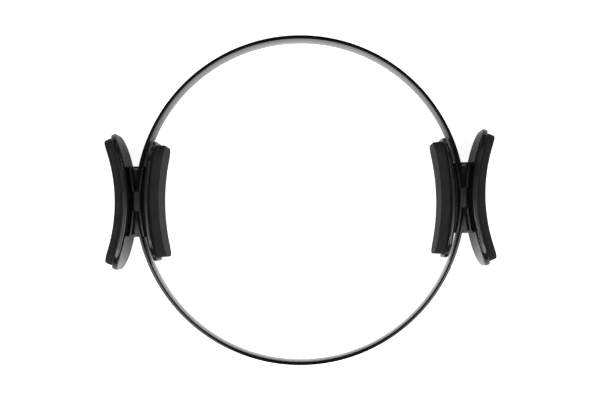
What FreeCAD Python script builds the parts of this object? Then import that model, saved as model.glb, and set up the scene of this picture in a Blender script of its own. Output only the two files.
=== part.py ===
import FreeCAD, Part
import math
import os
import Sketcher

# A pilates ring: a sprung hoop with a padded handle on each side.
# Millimetres. The hoop lies flat with its axis along Z, the handles sit at -X and +X,
# and the long edges of the pad plates rest on z = 0.

# The driving sizes, each written once.
SIZES = {
    # hoop: a spring strip inside a jacket, its two ends meeting inside the left handle
    "band_outer_radius": 178.5,
    "strip_thickness": 1.4,
    "strip_width": 33,
    "strip_fit": 0.1,
    "strip_end_gap": 2,
    "jacket_wall": 1.1,
    "jacket_edge_wall": 2.4,
    "jacket_edge_radius": 0.8,
    # clamp halves that hold the hoop between them; the rim stands out past the hoop's edges
    # and the web between the rims is sunk below them
    "band_clearance": 0.3,
    "outer_clamp_depth": 4.6,
    "inner_clamp_depth": 7.5,
    "rim_overhang": 1.5,
    "rim_groove": 1.8,
    "rim_wall": 2.2,
    "web_inset": 10,
    "rim_edge_radius": 0.3,
    # clasp of the inner half, hooked over the edges of the hoop into a pocket of the outer half
    "clasp_half_length": 10.5,
    "clasp_thickness": 2.7,
    "clasp_overhang": 0.6,
    "clasp_chamfer": 1.8,
    "clasp_root": 2,
    "pocket_clearance": 0.7,
    "pocket_depth": 3.5,
    # pad plates, and the foam that leaves a margin of each plate bare
    "plate_width": 77,
    "plate_corner_radius": 23,
    "plate_front_radius": 1.2,
    "plate_back_radius": 2.6,
    "foam_side_margin": 5,
    "foam_corner_radius": 15,
    "foam_edge_radius": 1.2,
    "seat_gap": 0.1,
    "glue_gap": 0.15,
    "outer_face_radius": 176,
    "outer_foam_thickness": 9.2,
    "outer_foam_end_margin": 5.1,
    "outer_plate_thickness": 6.2,
    "outer_plate_half_length": 74.8,
    "inner_face_radius": 235,
    "inner_foam_thickness": 10.6,
    "inner_foam_end_margin": 3.6,
    "inner_plate_thickness": 5.1,
    "inner_plate_half_length": 65.4,
    # screws, in order along the hub: clasp pocket, clamp screw, pad screw, end of the hub
    "thread_gap": 0.05,
    "screw_end_gap": 0.5,
    "clamp_screw_inset": 6.8,
    "screw_spacing": 11,
    "hub_end_margin": 9,
    "clamp_screw_diameter": 4,
    "clamp_head_diameter": 7.6,
    "clamp_head_height": 2.8,
    "clamp_socket": 2.5,
    "clamp_socket_depth": 1.8,
    "pad_screw_diameter": 3,
    "pad_screw_cover": 2,
    "pad_head_diameter": 5.6,
    "pad_head_height": 1.9,
    "pad_socket": 2,
    "pad_socket_depth": 1.2,
    "head_clearance": 0.3,
}

doc = FreeCAD.newDocument("pilates_ring")
sheet = doc.addObject("Spreadsheet::Sheet", "Dimensions")
for row, (name, size) in enumerate(SIZES.items(), start=1):
    sheet.set(f"A{row}", name)
    sheet.set(f"B{row}", str(size))
    sheet.setAlias(f"B{row}", name)
doc.recompute()


def cell(name):
    return f"Dimensions.{name}"


def value(expression):
    number = sheet.evalExpression(expression)
    return getattr(number, "Value", number)


def circle_x(radius, y):
    return f"sqrt(({radius}) ^ 2 - ({y}) ^ 2)"


# Places that follow from the driving sizes.
BAND_OUTER = cell("band_outer_radius")
BAND_THICKNESS = f"({cell('strip_thickness')} + 2 * ({cell('strip_fit')} + {cell('jacket_wall')}))"
BAND_WIDTH = f"({cell('strip_width')} + 2 * ({cell('strip_fit')} + {cell('jacket_edge_wall')}))"
BAND_INNER = f"({BAND_OUTER} - {BAND_THICKNESS})"
BAND_MIDDLE = f"({BAND_OUTER} - {BAND_THICKNESS} / 2)"
MID_HEIGHT = f"({cell('plate_width')} / 2)"
OUTER_SEAT = f"({BAND_OUTER} + {cell('outer_clamp_depth')})"
INNER_SEAT = f"({BAND_INNER} - {cell('inner_clamp_depth')})"
WEB_WIDTH = f"({BAND_WIDTH} - 2 * {cell('web_inset')})"
RIM_WIDTH = f"({BAND_WIDTH} + 2 * {cell('rim_overhang')})"
CLASP_POCKET = f"({cell('clasp_half_length')} + {cell('pocket_clearance')})"
CLAMP_SCREW_OFFSET = f"({CLASP_POCKET} + {cell('clamp_screw_inset')})"
PAD_SCREW_OFFSET = f"({CLAMP_SCREW_OFFSET} + {cell('screw_spacing')})"
PAD_SCREW_REACH = f"({cell('inner_clamp_depth')} - {cell('pad_screw_cover')})"
HUB = f"({PAD_SCREW_OFFSET} + {cell('hub_end_margin')})"
CLAMP_HEAD_SEAT = f"({OUTER_SEAT} - {cell('clamp_head_height')})"
CLAMP_SCREW_TIP = f"({INNER_SEAT} + {cell('screw_end_gap')})"
# A slab is bent this many degrees past each tip and then cut back to it.
SPARE_ANGLE = 4
EXPORTED = []


# The curved layers of one pad, as radii about its own centre of curvature:
# foam face, foam back, plate front, plate back.
class PadLayers:
    def __init__(self, side):
        self.side = side
        self.foam_face = cell(f"{side}_face_radius")
        self.foam_back = f"({self.foam_face} + {cell(f'{side}_foam_thickness')})"
        self.plate_front = f"({self.foam_back} + {cell('glue_gap')})"
        self.plate_back = f"({self.plate_front} + {cell(f'{side}_plate_thickness')})"
        self.clamp_seat = f"({self.plate_back} + {cell('seat_gap')})"
        if side == "outer":
            self.centre = f"({OUTER_SEAT} + {self.clamp_seat})"
        else:
            self.centre = f"({INNER_SEAT} - {self.clamp_seat})"
        self.plate_half_length = cell(f"{side}_plate_half_length")
        self.foam_half_length = f"({self.plate_half_length} - {cell(f'{side}_foam_end_margin')})"
        head_edge = f"{PAD_SCREW_OFFSET} - {cell('pad_head_diameter')} / 2"
        self.head_top = circle_x(self.plate_front, head_edge)
        self.head_seat = f"({self.head_top} + {cell('pad_head_height')})"
        self.screw_tip = f"({circle_x(self.clamp_seat, PAD_SCREW_OFFSET)} + {PAD_SCREW_REACH})"


PADS = {side: PadLayers(side) for side in ("outer", "inner")}


# Bodies, sketches and features.
def new_body(label, x="0", half_turn=False):
    body = doc.addObject("PartDesign::Body", label)
    body.Label = label
    place(body, x, half_turn)
    EXPORTED.append(body)
    return body


def place(thing, x="0", half_turn=False):
    turn = FreeCAD.Rotation(FreeCAD.Vector(0, 0, 1), 180 if half_turn else 0)
    thing.Placement = FreeCAD.Placement(FreeCAD.Vector(), turn)
    thing.setExpression("Placement.Base.x", x)
    thing.setExpression("Placement.Base.z", MID_HEIGHT)


def new_sketch(body, name, role, lift=None, swing=None):
    sketch = body.newObject("Sketcher::SketchObject", name)
    plane = next(f for f in body.Origin.OriginFeatures if f.Role == role)
    sketch.AttachmentSupport = [(plane, "")]
    sketch.MapMode = "FlatFace"
    if swing:
        upright = FreeCAD.Rotation(FreeCAD.Vector(0, 1, 0), value(swing))
        sketch.AttachmentOffset = FreeCAD.Placement(FreeCAD.Vector(), upright)
        sketch.setExpression("AttachmentOffset.Rotation.Angle", swing)
    if lift:
        sketch.setExpression("AttachmentOffset.Base.z", lift)
    return sketch


def pin(sketch, kind, geometry, point, expression):
    if expression == "0":
        axis = -2 if kind == "DistanceX" else -1
        sketch.addConstraint(Sketcher.Constraint("PointOnObject", geometry, point, axis))
        return
    size = value(expression)
    index = sketch.addConstraint(Sketcher.Constraint(kind, -1, 1, geometry, point, size))
    sketch.setExpression(f"Constraints[{index}]", expression)


def pin_radius(sketch, geometry, radius):
    index = sketch.addConstraint(Sketcher.Constraint("Radius", geometry, value(radius)))
    sketch.setExpression(f"Constraints[{index}]", radius)


# A closed outline. Each corner is an (x, y) pair of expressions; arcs maps the number of the
# corner that an arc starts from to its (radius, centre x, centre y, clockwise).
def draw_outline(sketch, corners, arcs=None):
    arcs = arcs or {}
    points = [FreeCAD.Vector(value(x), value(y), 0) for x, y in corners]
    first, last = [], []
    for number, start in enumerate(points):
        end = points[(number + 1) % len(points)]
        if number not in arcs:
            sketch.addGeometry(Part.LineSegment(start, end))
            first.append(1)
            last.append(2)
            continue
        radius, centre_x, centre_y, clockwise = arcs[number]
        centre = FreeCAD.Vector(value(centre_x), value(centre_y), 0)
        round_trip = Part.Circle(centre, FreeCAD.Vector(0, 0, 1), value(radius))
        begin, finish = (end, start) if clockwise else (start, end)
        angles = [math.atan2(p.y - centre.y, p.x - centre.x) for p in (begin, finish)]
        sketch.addGeometry(Part.ArcOfCircle(round_trip, *angles))
        first.append(2 if clockwise else 1)
        last.append(1 if clockwise else 2)
    for number, (x, y) in enumerate(corners):
        after = (number + 1) % len(corners)
        joint = Sketcher.Constraint("Coincident", number, last[number], after, first[after])
        sketch.addConstraint(joint)
        pin(sketch, "DistanceX", number, first[number], x)
        pin(sketch, "DistanceY", number, first[number], y)
    for number, (_, centre_x, *_) in arcs.items():
        pin(sketch, "DistanceX", number, 3, centre_x)


# Round holes in a row along Y, on a plane that faces X.
def draw_holes(sketch, offset, diameter):
    for number, sign in enumerate(("", "-")):
        y = f"{sign}({offset})"
        centre = FreeCAD.Vector(value(y), 0, 0)
        radius = f"({diameter}) / 2"
        sketch.addGeometry(Part.Circle(centre, FreeCAD.Vector(0, 0, 1), value(radius)))
        pin(sketch, "DistanceX", number, 3, y)
        pin(sketch, "DistanceY", number, 3, "0")
        pin_radius(sketch, number, radius)


def add_pad(body, sketch, length, symmetric=True, name="pad"):
    pad = body.newObject("PartDesign::Pad", name)
    pad.Profile = sketch
    pad.SideType = "Symmetric" if symmetric else "One side"
    pad.setExpression("Length", length)
    return pad


# A cut from the sketch plane: through everything on one side, to a length, or both ways.
def add_pocket(body, sketch, length=None, along_normal=True, both_ways=False):
    pocket = body.newObject("PartDesign::Pocket", "pocket")
    pocket.Profile = sketch
    pocket.Reversed = along_normal
    pocket.SideType = "Symmetric" if both_ways else "One side"
    if length:
        pocket.setExpression("Length", length)
    else:
        pocket.Type = "ThroughAll"
    return pocket


def add_turn(body, sketch, angle):
    turn = body.newObject("PartDesign::Revolution", "turn")
    turn.Profile = sketch
    turn.ReferenceAxis = (sketch, ["V_Axis"])
    turn.Midplane = True
    turn.setExpression("Angle", angle)
    return turn


def add_fillet(body, radius, wanted):
    doc.recompute()
    base = body.Tip
    names = [f"Edge{n}" for n, edge in enumerate(base.Shape.Edges, start=1) if wanted(edge)]
    fillet = body.newObject("PartDesign::Fillet", "round")
    fillet.Base = (base, names)
    fillet.setExpression("Radius", radius)
    return fillet


def rectangle(low_x, high_x, half_y):
    return [(low_x, f"-({half_y})"), (high_x, f"-({half_y})"), (high_x, half_y), (low_x, half_y)]


# The spring strip and its jacket: hoops open at -X by the gap between the strip's ends.
def make_hoops():
    hole = f"{cell('clamp_screw_diameter')} + 2 * {cell('band_clearance')}"
    open_turn = f"360 - asin({cell('strip_end_gap')} / {BAND_MIDDLE}) / 1 deg"
    strip_half = f"{cell('strip_thickness')} / 2"
    bore_half = f"({strip_half} + {cell('strip_fit')})"
    bore_width = f"{cell('strip_width')} / 2 + {cell('strip_fit')}"

    strip = new_body("spring_strip")
    section = new_sketch(strip, "strip_section", "XZ_Plane")
    inner, outer = f"{BAND_MIDDLE} - {strip_half}", f"{BAND_MIDDLE} + {strip_half}"
    draw_outline(section, rectangle(inner, outer, f"{cell('strip_width')} / 2"))
    add_turn(strip, section, open_turn)

    jacket = new_body("band_jacket")
    section = new_sketch(jacket, "jacket_section", "XZ_Plane")
    draw_outline(section, rectangle(BAND_INNER, BAND_OUTER, f"{BAND_WIDTH} / 2"))
    add_turn(jacket, section, open_turn)
    half_width = value(f"{BAND_WIDTH} / 2")
    add_fillet(
        jacket,
        cell("jacket_edge_radius"),
        lambda edge: isinstance(edge.Curve, Part.Circle)
        and all(abs(abs(v.Z) - half_width) < 0.01 for v in edge.Vertexes),
    )
    bore = new_sketch(jacket, "strip_bore", "XZ_Plane")
    inner, outer = f"{BAND_MIDDLE} - {bore_half}", f"{BAND_MIDDLE} + {bore_half}"
    draw_outline(bore, rectangle(inner, outer, bore_width))
    groove = jacket.newObject("PartDesign::Groove", "bore")
    groove.Profile = bore
    groove.ReferenceAxis = (bore, ["V_Axis"])
    groove.Angle = 360

    for hoop in (strip, jacket):
        holes = new_sketch(hoop, "screw_holes", "YZ_Plane")
        draw_holes(holes, CLAMP_SCREW_OFFSET, hole)
        add_pocket(hoop, holes, both_ways=True)


# A slab bent to an arc about its body's Z axis, its ends cut square to the bend with round corners.
def make_bent_slab(label, low, high, width, half_length, corner, edge_radii, x, half_turn):
    body = new_body(label, x, half_turn)
    tip_angle = f"asin({half_length} / {high})"
    section = new_sketch(body, "section", "XZ_Plane")
    draw_outline(section, rectangle(low, high, f"{width} / 2"))
    add_turn(body, section, f"2 * {tip_angle} / 1 deg + {2 * SPARE_ANGLE}")
    half, straight = f"({width} / 2)", f"({width} / 2 - {corner})"
    spare = f"({high} * tan({2 * SPARE_ANGLE} deg))"
    for sign, opposite in (("", "-"), ("-", "")):
        ends = new_sketch(body, "end", "YZ_Plane", swing=f"{sign}({tip_angle})")
        start, edge = f"{opposite}{corner}", f"{sign}{spare}"
        corners = [
            (start, width),
            (edge, width),
            (edge, f"-{width}"),
            (start, f"-{width}"),
            (start, f"-{half}"),
            ("0", f"-{straight}"),
            ("0", straight),
            (start, half),
        ]
        clockwise = sign == "-"
        arcs = {
            4: (corner, start, f"-{straight}", clockwise),
            6: (corner, start, straight, clockwise),
        }
        draw_outline(ends, corners, arcs)
        add_pocket(body, ends)
    for side, edge_radius in zip((low, high), edge_radii):
        radius = value(side)
        add_fillet(
            body,
            edge_radius,
            lambda edge: all(abs(math.hypot(p.x, p.y) - radius) < 0.01 for p in edge.discretize(3)),
        )
    return body


# Screws along X through (0, +-offset), head first. direction 1 drives towards +X.
def make_screws(label, size, offset, head_top, head_seat, tip, direction, x="0", half_turn=False):
    def upright(kind, name, low, high, y):
        solid = doc.addObject(kind, name)
        lying = FreeCAD.Rotation(FreeCAD.Vector(0, 1, 0), 90)
        solid.Placement = FreeCAD.Placement(FreeCAD.Vector(), lying)
        solid.setExpression("Placement.Base.x", low)
        solid.setExpression("Placement.Base.y", y)
        solid.setExpression("Height", f"{high} - {low}")
        return solid

    def span(start, end):
        return (start, end) if direction > 0 else (end, start)

    sign = "+" if direction > 0 else "-"
    socket_floor = f"({head_top} {sign} {cell(f'{size}_socket_depth')})"
    screws = []
    for y in (offset, f"-{offset}"):
        head = upright("Part::Cylinder", "head", *span(head_top, head_seat), y)
        head.setExpression("Radius", f"{cell(f'{size}_head_diameter')} / 2")
        shank = upright("Part::Cylinder", "shank", *span(head_seat, tip), y)
        shank.setExpression("Radius", f"{cell(f'{size}_screw_diameter')} / 2")
        socket = upright("Part::Prism", "socket", *span(head_top, socket_floor), y)
        socket.Polygon = 6
        socket.setExpression("Circumradius", f"{cell(f'{size}_socket')} / sqrt(3)")
        blank = doc.addObject("Part::Fuse", "blank")
        blank.Base, blank.Tool = head, shank
        screw = doc.addObject("Part::Cut", "screw")
        screw.Base, screw.Tool = blank, socket
        screws.append(screw)
    group = doc.addObject("Part::Compound", label)
    group.Label = label
    group.Links = screws
    place(group, x, half_turn)
    EXPORTED.append(group)


# Foam, plate and plate screws of one pad.
def make_pad(hand, side, half_turn):
    pad = PADS[side]
    outward = side == "outer"
    turned = half_turn != outward
    x = f"-({pad.centre})" if half_turn else pad.centre
    foam_width = f"({cell('plate_width')} - 2 * {cell('foam_side_margin')})"
    make_bent_slab(
        f"{hand}_{side}_foam", pad.foam_face, pad.foam_back, foam_width,
        pad.foam_half_length, cell("foam_corner_radius"), 2 * [cell("foam_edge_radius")], x, turned,
    )
    plate = make_bent_slab(
        f"{hand}_{side}_plate", pad.plate_front, pad.plate_back, cell("plate_width"),
        pad.plate_half_length, cell("plate_corner_radius"),
        [cell("plate_front_radius"), cell("plate_back_radius")], x, turned,
    )
    holes = new_sketch(plate, "screw_holes", "YZ_Plane")
    draw_holes(holes, PAD_SCREW_OFFSET, f"{cell('pad_screw_diameter')} + {cell('head_clearance')}")
    add_pocket(plate, holes)
    recess = new_sketch(plate, "head_recesses", "YZ_Plane")
    draw_holes(recess, PAD_SCREW_OFFSET, f"{cell('pad_head_diameter')} + 2 * {cell('head_clearance')}")
    add_pocket(plate, recess, length=pad.head_seat)
    make_screws(
        f"{hand}_{side}_pad_screws", "pad", PAD_SCREW_OFFSET,
        pad.head_top, pad.head_seat, pad.screw_tip, 1, x, turned,
    )


# The outer clamp half: a web between hoop and outer plate, with a rim wall on both faces.
def make_outer_clamp(hand, half_turn):
    pad = PADS["outer"]
    body = new_body(f"{hand}_outer_clamp", half_turn=half_turn)
    bed = f"({BAND_OUTER} + {cell('band_clearance')})"

    def seat_x(y, inset="0"):
        return f"({pad.centre} - {circle_x(f'{pad.clamp_seat} + {inset}', y)})"

    web = new_sketch(body, "web", "XY_Plane")
    corners = [
        (circle_x(bed, HUB), f"-{HUB}"),
        (seat_x(HUB), f"-{HUB}"),
        (seat_x(HUB), HUB),
        (circle_x(bed, HUB), HUB),
    ]
    arcs = {1: (pad.clamp_seat, pad.centre, "0", True), 3: (bed, "0", "0", True)}
    draw_outline(web, corners, arcs)
    add_pad(body, web, WEB_WIDTH, name="web_pad")

    wall = cell("rim_wall")
    near, far = cell("rim_groove"), f"({cell('rim_groove')} + {wall})"
    start, shelf = CLASP_POCKET, f"({HUB} - {wall})"
    for sign in ("", "-"):
        rib = new_sketch(body, "rib", "XY_Plane")
        corners = [
            (seat_x(start, far), f"{sign}{start}"),
            (seat_x(start, near), f"{sign}{start}"),
            (seat_x(HUB, near), f"{sign}{HUB}"),
            (seat_x(HUB, far), f"{sign}{HUB}"),
        ]
        clockwise = sign == ""
        arcs = {
            1: (f"{pad.clamp_seat} + {near}", pad.centre, "0", clockwise),
            3: (f"{pad.clamp_seat} + {far}", pad.centre, "0", not clockwise),
        }
        draw_outline(rib, corners, arcs)
        add_pad(body, rib, RIM_WIDTH, name="rib_pad")
        round_outline(body, f"{RIM_WIDTH} / 2", f"{sign}{start}")
        end = new_sketch(body, "end_wall", "XY_Plane")
        corners = [
            (circle_x(bed, shelf), f"{sign}{shelf}"),
            (seat_x(shelf), f"{sign}{shelf}"),
            (seat_x(HUB), f"{sign}{HUB}"),
            (circle_x(bed, HUB), f"{sign}{HUB}"),
        ]
        draw_outline(end, corners)
        add_pad(body, end, RIM_WIDTH, name="end_pad")

    # the pocket that the clasp snaps into, on both faces of the web
    floor = f"({WEB_WIDTH} / 2 - {cell('pocket_depth')})"
    for sign in ("", "-"):
        pocket = new_sketch(body, "clasp_pocket", "XY_Plane", lift=f"{sign}{floor}")
        beyond_seat = f"({OUTER_SEAT} + {cell('outer_clamp_depth')})"
        draw_outline(pocket, rectangle(BAND_INNER, beyond_seat, CLASP_POCKET))
        add_pocket(body, pocket, along_normal=sign == "")

    drill(body, CLAMP_SCREW_OFFSET, f"{cell('clamp_screw_diameter')} + {cell('head_clearance')}")
    head_hole = f"{cell('clamp_head_diameter')} + 2 * {cell('head_clearance')}"
    drill(body, CLAMP_SCREW_OFFSET, head_hole, start=CLAMP_HEAD_SEAT)
    pilot = f"{cell('pad_screw_diameter')} + 2 * {cell('thread_gap')}"
    bottom = f"({pad.centre} - {pad.screw_tip} - {cell('screw_end_gap')})"
    drill(body, PAD_SCREW_OFFSET, pilot, start=bottom)


# Rounds the outline of the faces at this height above and below the middle,
# or only of those on the same side of y = 0 as the given place.
def round_outline(body, height, place_y=None):
    level = value(height)
    side = value(place_y) if place_y else 0
    add_fillet(
        body,
        cell("rim_edge_radius"),
        lambda edge: all(abs(abs(p.z) - level) < 0.01 and p.y * side >= 0 for p in edge.discretize(3)),
    )


# Drills along X at both sides of the middle: from start outwards, or right through.
def drill(body, offset, diameter, start=None, towards_ring=False):
    holes = new_sketch(body, "drill", "YZ_Plane", lift=start)
    draw_holes(holes, offset, diameter)
    add_pocket(body, holes, along_normal=not towards_ring)


# The inner clamp half: a web between inner plate and hoop, a rim wall along the hoop,
# and a clasp over each edge of the hoop.
def make_inner_clamp(hand, half_turn):
    pad = PADS["inner"]
    body = new_body(f"{hand}_inner_clamp", half_turn=half_turn)
    bed = f"({BAND_INNER} - {cell('band_clearance')})"
    seat = f"({pad.centre} + {circle_x(pad.clamp_seat, HUB)})"
    web = new_sketch(body, "web", "XY_Plane")
    corners = [
        (seat, f"-{HUB}"),
        (circle_x(bed, HUB), f"-{HUB}"),
        (circle_x(bed, HUB), HUB),
        (seat, HUB),
    ]
    arcs = {1: (bed, "0", "0", False), 3: (pad.clamp_seat, pad.centre, "0", True)}
    draw_outline(web, corners, arcs)
    add_pad(body, web, WEB_WIDTH, name="web_pad")

    rib = new_sketch(body, "rib", "XY_Plane")
    back = f"({bed} - {cell('rim_wall')})"
    corners = [
        (circle_x(back, HUB), f"-{HUB}"),
        (circle_x(bed, HUB), f"-{HUB}"),
        (circle_x(bed, HUB), HUB),
        (circle_x(back, HUB), HUB),
    ]
    draw_outline(rib, corners, {1: (bed, "0", "0", False), 3: (back, "0", "0", True)})
    add_pad(body, rib, RIM_WIDTH, name="rib_pad")
    round_outline(body, f"{RIM_WIDTH} / 2")

    half, chamfer = cell("clasp_half_length"), cell("clasp_chamfer")
    root = f"({BAND_INNER} - {cell('clasp_root')})"
    hook = f"({BAND_OUTER} + {cell('clasp_overhang')})"
    low = f"({BAND_WIDTH} / 2 + {cell('band_clearance')})"
    for sign in ("", "-"):
        clasp = new_sketch(body, "clasp", "XY_Plane", lift=f"{sign}{low}")
        corners = [
            (root, f"-{half}"),
            (f"{hook} - {chamfer}", f"-{half}"),
            (hook, f"-({half} - {chamfer})"),
            (hook, f"({half} - {chamfer})"),
            (f"{hook} - {chamfer}", half),
            (root, half),
        ]
        draw_outline(clasp, corners)
        pad_up = add_pad(body, clasp, cell("clasp_thickness"), symmetric=False, name="clasp_pad")
        pad_up.Reversed = sign == "-"
    round_outline(body, f"{low} + {cell('clasp_thickness')}")

    thread = f"{cell('clamp_screw_diameter')} + 2 * {cell('thread_gap')}"
    drill(body, CLAMP_SCREW_OFFSET, thread)
    pilot = f"{cell('pad_screw_diameter')} + 2 * {cell('thread_gap')}"
    bottom = f"({pad.centre} + {pad.screw_tip} + {cell('screw_end_gap')})"
    drill(body, PAD_SCREW_OFFSET, pilot, start=bottom, towards_ring=True)


def make_handle(hand, half_turn):
    for side in ("outer", "inner"):
        make_pad(hand, side, half_turn)
    make_outer_clamp(hand, half_turn)
    make_inner_clamp(hand, half_turn)
    make_screws(
        f"{hand}_clamp_screws", "clamp", CLAMP_SCREW_OFFSET,
        OUTER_SEAT, CLAMP_HEAD_SEAT, CLAMP_SCREW_TIP, -1, half_turn=half_turn,
    )


make_hoops()
make_handle("right", False)
make_handle("left", True)
doc.recompute()

for thing in doc.Objects:
    if {"Invalid", "Error"} & set(thing.State):
        raise RuntimeError(f"{thing.Name} of {thing.Label} failed: {thing.State}")
for piece in EXPORTED:
    if piece.Shape.isNull() or not piece.Shape.isValid():
        raise RuntimeError(f"{piece.Label} has no valid shape")

os.makedirs("parts", exist_ok=True)
for piece in EXPORTED:
    piece.Shape.exportStep(f"parts/{piece.Label}.step")
    box = piece.Shape.BoundBox
    print(
        f"{piece.Label}: {len(piece.Shape.Solids)} solid(s), {piece.Shape.Volume / 1000:.2f} cm3, "
        f"x {box.XMin:.1f}..{box.XMax:.1f} y {box.YMin:.1f}..{box.YMax:.1f} z {box.ZMin:.1f}..{box.ZMax:.1f}"
    )
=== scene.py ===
import bmesh
import bpy
import math
from mathutils import Matrix, Vector, noise


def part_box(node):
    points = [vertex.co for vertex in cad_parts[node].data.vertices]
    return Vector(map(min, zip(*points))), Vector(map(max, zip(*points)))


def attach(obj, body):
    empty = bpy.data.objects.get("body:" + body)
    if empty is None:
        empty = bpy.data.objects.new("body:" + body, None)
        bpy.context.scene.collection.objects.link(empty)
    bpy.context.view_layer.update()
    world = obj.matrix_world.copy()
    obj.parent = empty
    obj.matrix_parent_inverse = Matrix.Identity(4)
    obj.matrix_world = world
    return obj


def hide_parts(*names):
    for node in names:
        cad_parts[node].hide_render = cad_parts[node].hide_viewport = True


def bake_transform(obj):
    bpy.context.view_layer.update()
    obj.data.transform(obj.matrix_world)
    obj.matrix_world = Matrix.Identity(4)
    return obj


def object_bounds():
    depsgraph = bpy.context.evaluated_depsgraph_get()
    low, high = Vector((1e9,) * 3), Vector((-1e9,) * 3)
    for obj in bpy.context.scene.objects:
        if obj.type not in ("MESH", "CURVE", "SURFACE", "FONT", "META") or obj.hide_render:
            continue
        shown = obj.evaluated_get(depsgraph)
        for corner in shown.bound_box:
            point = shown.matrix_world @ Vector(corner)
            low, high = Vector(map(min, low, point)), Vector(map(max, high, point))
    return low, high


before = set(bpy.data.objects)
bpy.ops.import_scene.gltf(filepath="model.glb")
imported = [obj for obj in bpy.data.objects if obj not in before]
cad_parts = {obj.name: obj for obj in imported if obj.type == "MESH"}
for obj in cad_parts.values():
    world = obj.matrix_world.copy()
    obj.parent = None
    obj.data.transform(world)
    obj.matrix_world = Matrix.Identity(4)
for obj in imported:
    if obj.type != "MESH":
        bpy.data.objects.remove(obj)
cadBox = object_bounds()
scene = bpy.context.scene
mm = 0.001
touching = 0.01 * mm  # points nearer than this count as one place
hands = ("left", "right")
sides = ("outer", "inner")
middle = (cadBox[0] + cadBox[1]) / 2
print("frame loaded with", len(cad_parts), "nodes")


# sRGB hex to the linear colour that the shaders work in
def linear(hexText):
    parts = [int(hexText[n:n + 2], 16) / 255 for n in (1, 3, 5)]
    return [p / 12.92 if p <= 0.04045 else ((p + 0.055) / 1.055) ** 2.4 for p in parts] + [1.0]


# texture scale for a pattern whose parts are this many millimetres across
def perMm(size):
    return 1 / (size * mm)


# adds a node with its settings, socket values and links from other nodes' outputs
def addNode(tree, kind, settings=None, values=None, links=None):
    node = tree.nodes.new(kind)
    for name, value in (settings or {}).items():
        setattr(node, name, value)
    for name, value in (values or {}).items():
        node.inputs[name].default_value = value
    for name, output in (links or {}).items():
        tree.links.new(output, node.inputs[name])
    return node


# an empty material with its output and a place to read Object coordinates from
def newMaterial(name):
    material = bpy.data.materials.new(name)
    material.use_nodes = True
    tree = material.node_tree
    tree.nodes.clear()
    output = addNode(tree, "ShaderNodeOutputMaterial")
    place = addNode(tree, "ShaderNodeTexCoord").outputs["Object"]
    return material, tree, output, place


# most values of a noise texture lie in this span
noiseSpan = {"From Min": 0.3, "From Max": 0.7}

# black ABS, injection moulded in a spark-eroded tool: a half-gloss skin with an even grain
# a real grain is finer; this one is as coarse as it needs to be to show
mouldedAbs = {
    "colour": "#0c0c0d", "worn": "#131314", "tintSpan": (0.35, 0.75),
    "roughness": (0.13, 0.2), "ior": 1.5, "patchMm": 22,
    "grainMm": 0.7, "grainDepthMm": 0.05, "grainStrength": 0.07,
}
clampAbs = {**mouldedAbs, "colour": "#0b0b0c", "worn": "#121213"}


def makeMouldedAbs(name, look):
    material, tree, output, place = newMaterial(name)
    grain = addNode(
        tree, "ShaderNodeTexNoise",
        values={"Scale": perMm(look["grainMm"]), "Detail": 2.0, "Roughness": 0.6},
        links={"Vector": place},
    )
    patches = addNode(
        tree, "ShaderNodeTexNoise",
        values={"Scale": perMm(look["patchMm"]), "Detail": 4.0, "Roughness": 0.55},
        links={"Vector": place},
    )
    tint = addNode(tree, "ShaderNodeValToRGB", links={"Fac": patches.outputs["Fac"]})
    tones = ("colour", "worn")
    for stop, position, tone in zip(tint.color_ramp.elements, look["tintSpan"], tones):
        stop.position = position
        stop.color = linear(look[tone])
    smooth, dull = look["roughness"]
    rough = addNode(
        tree, "ShaderNodeMapRange", values={**noiseSpan, "To Min": smooth, "To Max": dull},
        links={"Value": patches.outputs["Fac"]},
    )
    bump = addNode(
        tree, "ShaderNodeBump",
        values={"Strength": look["grainStrength"], "Distance": look["grainDepthMm"] * mm},
        links={"Height": grain.outputs["Fac"]},
    )
    shader = addNode(
        tree, "ShaderNodeBsdfPrincipled", values={"IOR": look["ior"]},
        links={
            "Base Color": tint.outputs["Color"], "Roughness": rough.outputs["Result"],
            "Normal": bump.outputs["Normal"],
        },
    )
    tree.links.new(shader.outputs["BSDF"], output.inputs["Surface"])
    return material


# black flexible PVC, extruded over the strip: a smooth, fairly glossy skin with faint lines
# along the hoop, which stand further apart than a die's real ones, so that they show
extrudedPvc = {
    "colour": "#070708", "scuffed": "#0e0e0f", "tintSpan": (0.45, 0.8),
    "roughness": (0.05, 0.1), "ior": 1.4, "scuffMm": 9,
    "lineMm": 0.9, "lineDepthMm": 0.05, "lineStrength": 0.05,
}


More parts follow.
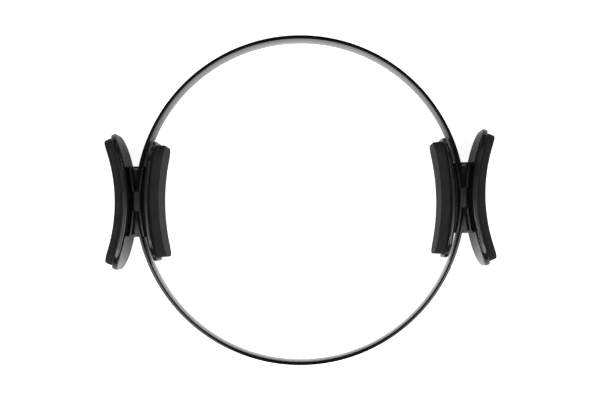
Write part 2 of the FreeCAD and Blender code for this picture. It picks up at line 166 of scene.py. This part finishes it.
def makeExtrudedPvc(name, look):
    material, tree, output, place = newMaterial(name)
    across = addNode(tree, "ShaderNodeSeparateXYZ", links={"Vector": place})
    lines = addNode(
        tree, "ShaderNodeTexNoise", settings={"noise_dimensions": "1D"},
        values={"Scale": perMm(look["lineMm"]), "Detail": 3.0}, links={"W": across.outputs["Z"]},
    )
    scuffs = addNode(
        tree, "ShaderNodeTexNoise",
        values={"Scale": perMm(look["scuffMm"]), "Detail": 6.0, "Roughness": 0.65},
        links={"Vector": place},
    )
    tint = addNode(tree, "ShaderNodeValToRGB", links={"Fac": scuffs.outputs["Fac"]})
    tones = ("colour", "scuffed")
    for stop, position, tone in zip(tint.color_ramp.elements, look["tintSpan"], tones):
        stop.position = position
        stop.color = linear(look[tone])
    smooth, dull = look["roughness"]
    rough = addNode(
        tree, "ShaderNodeMapRange", values={**noiseSpan, "To Min": smooth, "To Max": dull},
        links={"Value": scuffs.outputs["Fac"]},
    )
    bump = addNode(
        tree, "ShaderNodeBump",
        values={"Strength": look["lineStrength"], "Distance": look["lineDepthMm"] * mm},
        links={"Height": lines.outputs["Fac"]},
    )
    shader = addNode(
        tree, "ShaderNodeBsdfPrincipled", values={"IOR": look["ior"]},
        links={
            "Base Color": tint.outputs["Color"], "Roughness": rough.outputs["Result"],
            "Normal": bump.outputs["Normal"],
        },
    )
    tree.links.new(shader.outputs["BSDF"], output.inputs["Surface"])
    return material


# black EVA foam, skived from a block: matte, with cut cells that show as pits darkened with painted
# shade, and a faint bloom
# real cells are 0.2 to 0.5 mm across; these are larger, so that they show
cutFoam = {
    "colour": "#151516", "pitShade": "#060607", "bloom": "#222223", "bloomSpan": (0.35, 0.8),
    "roughness": 0.95, "sheen": 0.08, "sheenRoughness": 0.35, "ior": 1.42, "patchMm": 12,
    "cellMm": 1.2, "pitShare": 0.35, "pitMm": 0.25, "pitStrength": 0.6,
}


def makeCutFoam(name, look):
    material, tree, output, place = newMaterial(name)
    cells = addNode(
        tree, "ShaderNodeTexVoronoi",
        values={"Scale": perMm(look["cellMm"]), "Randomness": 1.0}, links={"Vector": place},
    )
    patches = addNode(
        tree, "ShaderNodeTexNoise",
        values={"Scale": perMm(look["patchMm"]), "Detail": 5.0, "Roughness": 0.6},
        links={"Vector": place},
    )
    bloom = addNode(tree, "ShaderNodeValToRGB", links={"Fac": patches.outputs["Fac"]})
    tones = ("colour", "bloom")
    for stop, position, tone in zip(bloom.color_ramp.elements, look["bloomSpan"], tones):
        stop.position = position
        stop.color = linear(look[tone])
    # near each cell's centre the pit is sunk by the bump and darkened with painted shade in its
    # hollow
    pitDepthAndShade = addNode(
        tree, "ShaderNodeMapRange", values={"From Max": look["pitShare"]},
        links={"Value": cells.outputs["Distance"]},
    )
    # sockets 0, 6 and 7 are the factor and the two colours, and output 2 is the mixed colour
    tint = addNode(
        tree, "ShaderNodeMix", settings={"data_type": "RGBA"}, values={6: linear(look["pitShade"])},
        links={0: pitDepthAndShade.outputs["Result"], 7: bloom.outputs["Color"]},
    )
    bump = addNode(
        tree, "ShaderNodeBump",
        values={"Strength": look["pitStrength"], "Distance": look["pitMm"] * mm},
        links={"Height": pitDepthAndShade.outputs["Result"]},
    )
    shader = addNode(
        tree, "ShaderNodeBsdfPrincipled",
        values={
            "IOR": look["ior"], "Roughness": look["roughness"],
            "Sheen Weight": look["sheen"], "Sheen Roughness": look["sheenRoughness"],
        },
        links={"Base Color": tint.outputs[2], "Normal": bump.outputs["Normal"]},
    )
    tree.links.new(shader.outputs["BSDF"], output.inputs["Surface"])
    return material


# zinc-plated steel, and oiled spring steel rolled to a strip: metal with lines one way,
# which are wider than real ones, so that they show
platedSteel = {"colour": "#b9bbc0", "roughness": (0.25, 0.4), "lineMm": 0.5}
rolledSteel = {"colour": "#7f8286", "roughness": (0.22, 0.34), "lineMm": 0.8}


def makeSteel(name, look):
    material, tree, output, place = newMaterial(name)
    across = addNode(tree, "ShaderNodeSeparateXYZ", links={"Vector": place})
    lines = addNode(
        tree, "ShaderNodeTexNoise", settings={"noise_dimensions": "1D"},
        values={"Scale": perMm(look["lineMm"]), "Detail": 4.0}, links={"W": across.outputs["Z"]},
    )
    smooth, dull = look["roughness"]
    rough = addNode(
        tree, "ShaderNodeMapRange", values={**noiseSpan, "To Min": smooth, "To Max": dull},
        links={"Value": lines.outputs["Fac"]},
    )
    shader = addNode(
        tree, "ShaderNodeBsdfPrincipled",
        values={"Base Color": linear(look["colour"]), "Metallic": 1.0},
        links={"Roughness": rough.outputs["Result"]},
    )
    tree.links.new(shader.outputs["BSDF"], output.inputs["Surface"])
    return material


plateFinish = makeMouldedAbs("black ABS moulded satin", mouldedAbs)
clampFinish = makeMouldedAbs("black ABS moulded clamp", clampAbs)
jacketFinish = makeExtrudedPvc("black PVC extruded", extrudedPvc)
foamFinish = makeCutFoam("black EVA foam cut", cutFoam)
screwFinish = makeSteel("zinc-plated steel", platedSteel)
stripFinish = makeSteel("spring steel rolled", rolledSteel)
print("materials made")


def dress(piece, finish):
    piece.data.materials.clear()
    piece.data.materials.append(finish)


# edges that turn by more than this stay sharp on the new pieces
sharpAngle = math.radians(40)


def makePiece(name, bm, finish):
    mesh = bpy.data.meshes.new(name)
    bm.to_mesh(mesh)
    bm.free()
    mesh.shade_smooth()
    mesh.set_sharp_from_angle(angle=sharpAngle)
    piece = bpy.data.objects.new(name, mesh)
    scene.collection.objects.link(piece)
    dress(piece, finish)
    return piece


# CAD nodes that keep their own shape
for hand in hands:
    for side in sides:
        dress(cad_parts[f"{hand}_{side}_plate"], plateFinish)
        dress(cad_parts[f"{hand}_{side}_clamp"], clampFinish)
        dress(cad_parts[f"{hand}_{side}_pad_screws"], screwFinish)
    dress(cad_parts[f"{hand}_clamp_screws"], screwFinish)
print("plates, clamps and screws dressed")


# hoop: strip and jacket, in two halves, one on each handle's side of the ring
# lengths in millimetres; the hoop's two ends stand endGap apart inside the left handle
hoop = {
    "thickness": 3.8, "edgeRound": 0.8, "edgeSteps": 5, "stripThickness": 1.4, "stripFit": 0.1,
    "stepsPerArc": 200, "endGap": 2.0, "bendEnd": 170,
}


# a closed outline in the XZ plane round (radius, 0, middle height)
def sectionLoop(bm, radius, thickness, width, edgeRound=0, steps=1):
    corners = [
        bm.verts.new((radius + x * thickness / 2, 0, middle.z + z * width / 2))
        for x, z in ((-1, -1), (1, -1), (1, 1), (-1, 1))
    ]
    edges = [bm.edges.new((corner, corners[n - 1])) for n, corner in enumerate(corners)]
    if edgeRound:
        made = bmesh.ops.bevel(
            bm, geom=corners, offset=edgeRound, segments=steps, profile=0.5,
            affect="VERTICES", material=-1,
        )
        edges = list(dict.fromkeys(edge for vert in made["verts"] for edge in vert.link_edges))
    return edges


# sweeps one outline, or a tube between two, round the ring's axis and closes both ends
def sweepArc(bm, loops, start, sweep, steps):
    ends = [[], []]
    for edges in loops:
        verts = list(dict.fromkeys(vert for edge in edges for vert in edge.verts))
        turn = Matrix.Rotation(start, 3, "Z")
        bmesh.ops.rotate(bm, verts=verts, cent=(0, 0, 0), matrix=turn)
        swept = bmesh.ops.spin(
            bm, geom=verts + edges, cent=(0, 0, 0), axis=(0, 0, 1), angle=sweep, steps=steps,
            use_merge=False,
        )
        last = swept["geom_last"]
        ends[0] += edges
        ends[1] += [part for part in last if isinstance(part, bmesh.types.BMEdge)]
    for edges in ends:
        if len(loops) == 2:
            bmesh.ops.bridge_loops(bm, edges=edges)
        else:
            bmesh.ops.contextual_create(bm, geom=edges)


jacketLow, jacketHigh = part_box("band_jacket")
stripLow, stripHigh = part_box("spring_strip")
bandWidth = jacketHigh.z - jacketLow.z
stripWidth = stripHigh.z - stripLow.z
bandMiddle = jacketHigh.y - hoop["thickness"] * mm / 2
bore = hoop["stripThickness"] * mm + 2 * hoop["stripFit"] * mm
boreWidth = stripWidth + 2 * hoop["stripFit"] * mm
gapAngle = hoop["endGap"] * mm / bandMiddle
quarter = math.pi / 2
hoopArcs = {
    "right": [(-quarter, math.pi)],
    "left": [
        (quarter, quarter - gapAngle / 2),
        (math.pi + gapAngle / 2, quarter - gapAngle / 2),
    ],
}
for hand in hands:
    jacketMesh, stripMesh = bmesh.new(), bmesh.new()
    for start, sweep in hoopArcs[hand]:
        skin = sectionLoop(
            jacketMesh, bandMiddle, hoop["thickness"] * mm, bandWidth,
            hoop["edgeRound"] * mm, hoop["edgeSteps"],
        )
        inside = sectionLoop(jacketMesh, bandMiddle, bore, boreWidth)
        steps = round(hoop["stepsPerArc"] * sweep / math.pi)
        sweepArc(jacketMesh, [skin, inside], start, sweep, steps)
        core = sectionLoop(stripMesh, bandMiddle, hoop["stripThickness"] * mm, stripWidth)
        sweepArc(stripMesh, [core], start, sweep, steps)
    for kind, bm, finish, slot, node in (
        ("jacket", jacketMesh, jacketFinish, "jacket", "band_jacket"),
        ("strip", stripMesh, stripFinish, "spring_steel", "spring_strip"),
    ):
        bmesh.ops.recalc_face_normals(bm, faces=bm.faces)
        piece = makePiece(f"{hand}_hoop_{kind}", bm, finish)
        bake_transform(piece)
        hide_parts(node)


# foam pads: slabs with round corners and soft rims, bent round each pad's own centre
# lengths in millimetres; trim is what each end is cut shorter than the CAD slab
# lean 0 leaves the ends square to the bend, lean 1 keeps the face as long as the back
foam = {
    "outer": {"faceRadius": 176, "thickness": 9.2, "lean": 0, "trim": 0},
    "inner": {"faceRadius": 235, "thickness": 10.6, "lean": 0.8, "trim": 0.8},
    "corner": 15, "cornerSteps": 10, "frontRound": 2.2, "backRound": 0.7, "rimSteps": 4,
    "slice": 2.5, "uneven": 0.12, "unevenSize": 14, "unevenShift": 7,
    "fadeAcross": 2, "fadeAlong": 4,
}


# a flat slab: length along X, width along Y, back at z = 0 and face at z = thickness
def flatSlab(bm, halfLength, halfWidth, thickness, look):
    bmesh.ops.create_grid(bm, x_segments=1, y_segments=1, size=1)
    bmesh.ops.scale(bm, vec=(halfLength, halfWidth, 1), verts=bm.verts)
    bmesh.ops.bevel(
        bm, geom=bm.verts[:], offset=look["corner"] * mm, segments=look["cornerSteps"],
        profile=0.5, affect="VERTICES", material=-1,
    )
    bmesh.ops.solidify(bm, geom=bm.faces[:], thickness=thickness)
    lowest = min(vert.co.z for vert in bm.verts)
    bmesh.ops.translate(bm, verts=bm.verts, vec=(0, 0, -lowest))
    for height, offset in ((thickness, look["frontRound"] * mm), (0, look["backRound"] * mm)):
        rim = [
            edge for edge in bm.edges
            if all(abs(vert.co.z - height) < touching for vert in edge.verts)
        ]
        bmesh.ops.bevel(
            bm, geom=rim, offset=offset, segments=look["rimSteps"], profile=0.5,
            affect="EDGES", material=-1,
        )
    # cuts across and along, so that the slab bends smoothly
    for axis, reach in ((Vector((1, 0, 0)), halfLength), (Vector((0, 1, 0)), halfWidth)):
        count = int(2 * reach / (look["slice"] * mm))
        for number in range(1, count):
            point = axis * (2 * number / count - 1) * reach
            bmesh.ops.bisect_plane(
                bm, geom=bm.verts[:] + bm.edges[:] + bm.faces[:], dist=touching,
                plane_co=point, plane_no=axis,
            )


def makeFoamPad(hand, side):
    node = f"{hand}_{side}_foam"
    low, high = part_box(node)
    thickness = foam[side]["thickness"] * mm
    backRadius = foam[side]["faceRadius"] * mm + thickness
    halfWidth = (high.z - low.z) / 2
    halfLength = backRadius * math.asin((high.y - foam[side]["trim"] * mm) / backRadius)
    # the pad lies this way from its centre of curvature, and its back is its end that way
    towards = 1 if (hand == "right") == (side == "inner") else -1
    centre = (high.x if towards > 0 else low.x) - towards * backRadius
    # pads that bend opposite ways get unlike unevenness
    shift = Vector((0, 0, foam["unevenShift"] * towards))
    bm = bmesh.new()
    flatSlab(bm, halfLength, halfWidth, thickness, foam)
    for vert in bm.verts:
        along, across, height = vert.co
        share = height / thickness
        # the unevenness fades out towards the back and the rims
        fade = max(0, 1 - abs(across / halfWidth) ** foam["fadeAcross"])
        fade *= max(0, 1 - abs(along / halfLength) ** foam["fadeAlong"])
        uneven = noise.noise(vert.co * perMm(foam["unevenSize"]) + shift)
        radius = backRadius - height - share * foam["uneven"] * uneven * fade * mm
        angle = along / (backRadius - foam[side]["lean"] * height)
        vert.co = (
            centre + towards * radius * math.cos(angle),
            radius * math.sin(angle),
            (low.z + high.z) / 2 + across,
        )
    bm.normal_update()  # the bend has turned the faces, and the next line starts from their normals
    bmesh.ops.recalc_face_normals(bm, faces=bm.faces)
    pad = makePiece(f"{hand}_{side}_foam_pad", bm, foamFinish)
    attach(pad, f"{hand}_handle")
    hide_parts(node)


for hand in hands:
    for side in sides:
        makeFoamPad(hand, side)
print("foam pads made")


# floor: white paper sweep, dropMm below the ring; it stays white to the eye and keeps a soft shadow
floorLook = {
    "size": 12, "dropMm": 0.2, "colour": "#f4f4f4", "roughness": (0.85, 0.95), "ior": 1.3,
    "fibreMm": 3, "glow": 0.88, "mirrorGlow": 0.03,
}


def makeFloor():
    material, tree, output, place = newMaterial("white paper floor")
    fibres = addNode(
        tree, "ShaderNodeTexNoise",
        values={"Scale": perMm(floorLook["fibreMm"]), "Detail": 3.0}, links={"Vector": place},
    )
    smooth, dull = floorLook["roughness"]
    rough = addNode(
        tree, "ShaderNodeMapRange", values={"To Min": smooth, "To Max": dull},
        links={"Value": fibres.outputs["Fac"]},
    )
    paper = addNode(
        tree, "ShaderNodeBsdfPrincipled",
        values={"Base Color": linear(floorLook["colour"]), "IOR": floorLook["ior"]},
        links={"Roughness": rough.outputs["Result"]},
    )
    rays = addNode(tree, "ShaderNodeLightPath")
    seen = addNode(
        tree, "ShaderNodeMath", settings={"operation": "MAXIMUM"},
        links={0: rays.outputs["Is Camera Ray"], 1: rays.outputs["Is Transmission Ray"]},
    )
    mirrored = addNode(
        tree, "ShaderNodeMath", settings={"operation": "MULTIPLY"},
        values={1: floorLook["mirrorGlow"]}, links={0: rays.outputs["Is Glossy Ray"]},
    )
    strength = addNode(
        tree, "ShaderNodeMath", settings={"operation": "MULTIPLY_ADD"},
        values={1: floorLook["glow"]}, links={0: seen.outputs[0], 2: mirrored.outputs[0]},
    )
    glow = addNode(
        tree, "ShaderNodeEmission", values={"Color": (1, 1, 1, 1)},
        links={"Strength": strength.outputs[0]},
    )
    both = addNode(
        tree, "ShaderNodeAddShader", links={0: paper.outputs["BSDF"], 1: glow.outputs["Emission"]},
    )
    tree.links.new(both.outputs["Shader"], output.inputs["Surface"])
    bm = bmesh.new()
    bmesh.ops.create_grid(bm, x_segments=1, y_segments=1, size=floorLook["size"] / 2)
    level = cadBox[0].z - floorLook["dropMm"] * mm
    bmesh.ops.translate(bm, verts=bm.verts, vec=(0, 0, level))
    mesh = bpy.data.meshes.new("floor")
    bm.to_mesh(mesh)
    bm.free()
    floor = bpy.data.objects.new("floor", mesh)
    scene.collection.objects.link(floor)
    dress(floor, material)


makeFloor()


# light, in metres: two level soft boxes overhead on the near side (-Y), and a weak one
# on the far side that is tilted towards the ring
softBoxes = {
    "left": {"place": (-0.75, -0.71, 1.47), "size": (1.05, 1.36), "watts": 21.5, "tilted": False},
    "right": {"place": (0.75, -0.71, 1.47), "size": (1.05, 1.36), "watts": 21.5, "tilted": False},
    "far": {"place": (-0.3, 1.6, 1.4), "size": (1.2, 1.2), "watts": 3, "tilted": True},
}
for name, box in softBoxes.items():
    light = bpy.data.lights.new(f"soft box {name}", "AREA")
    light.shape = "RECTANGLE"
    light.size, light.size_y = box["size"]
    light.energy = box["watts"]
    lamp = bpy.data.objects.new(f"soft box {name}", light)
    lamp.location = box["place"]
    if box["tilted"]:
        lamp.rotation_euler = (middle - lamp.location).to_track_quat("-Z", "Y").to_euler()
    scene.collection.objects.link(lamp)

# the room behind the soft boxes is dim, but white to the eye above the floor's far edge
surroundings = {"colour": "#ffffff", "strength": 0.1, "seen": 0.9}
world = bpy.data.worlds.new("dim studio")
scene.world = world
world.use_nodes = True
world.node_tree.nodes.clear()
rays = addNode(world.node_tree, "ShaderNodeLightPath")
level = addNode(
    world.node_tree, "ShaderNodeMath", settings={"operation": "MULTIPLY_ADD"},
    values={1: surroundings["seen"], 2: surroundings["strength"]},
    links={0: rays.outputs["Is Camera Ray"]},
)
sky = addNode(
    world.node_tree, "ShaderNodeBackground", values={"Color": linear(surroundings["colour"])},
    links={"Strength": level.outputs[0]},
)
addNode(world.node_tree, "ShaderNodeOutputWorld", links={"Surface": sky.outputs["Background"]})
print("floor and lights set")


# camera: nearly square above the ring; place and aim in millimetres from the ring's middle,
# turn in degrees
cameraLook = {
    "place": (19.4, -53, 1465), "aim": (-0.13, 0.1, 0), "turn": 0.68, "lens": 80.4, "sensor": 36,
}
camera = bpy.data.cameras.new("camera")
camera.lens = cameraLook["lens"]
camera.sensor_width = cameraLook["sensor"]
cameraObject = bpy.data.objects.new("camera", camera)
scene.collection.objects.link(cameraObject)
cameraObject.location = middle + Vector(cameraLook["place"]) * mm
sight = (Vector(cameraLook["aim"]) - Vector(cameraLook["place"])).normalized()
rightwards = sight.cross(Vector((0, 1, 0))).normalized()
upright = Matrix((rightwards, rightwards.cross(sight), -sight)).transposed()
roll = Matrix.Rotation(math.radians(-cameraLook["turn"]), 3, "Z")
cameraObject.rotation_euler = (upright @ roll).to_euler()
scene.camera = cameraObject
scene.view_settings.view_transform = "Standard"
print("camera set")
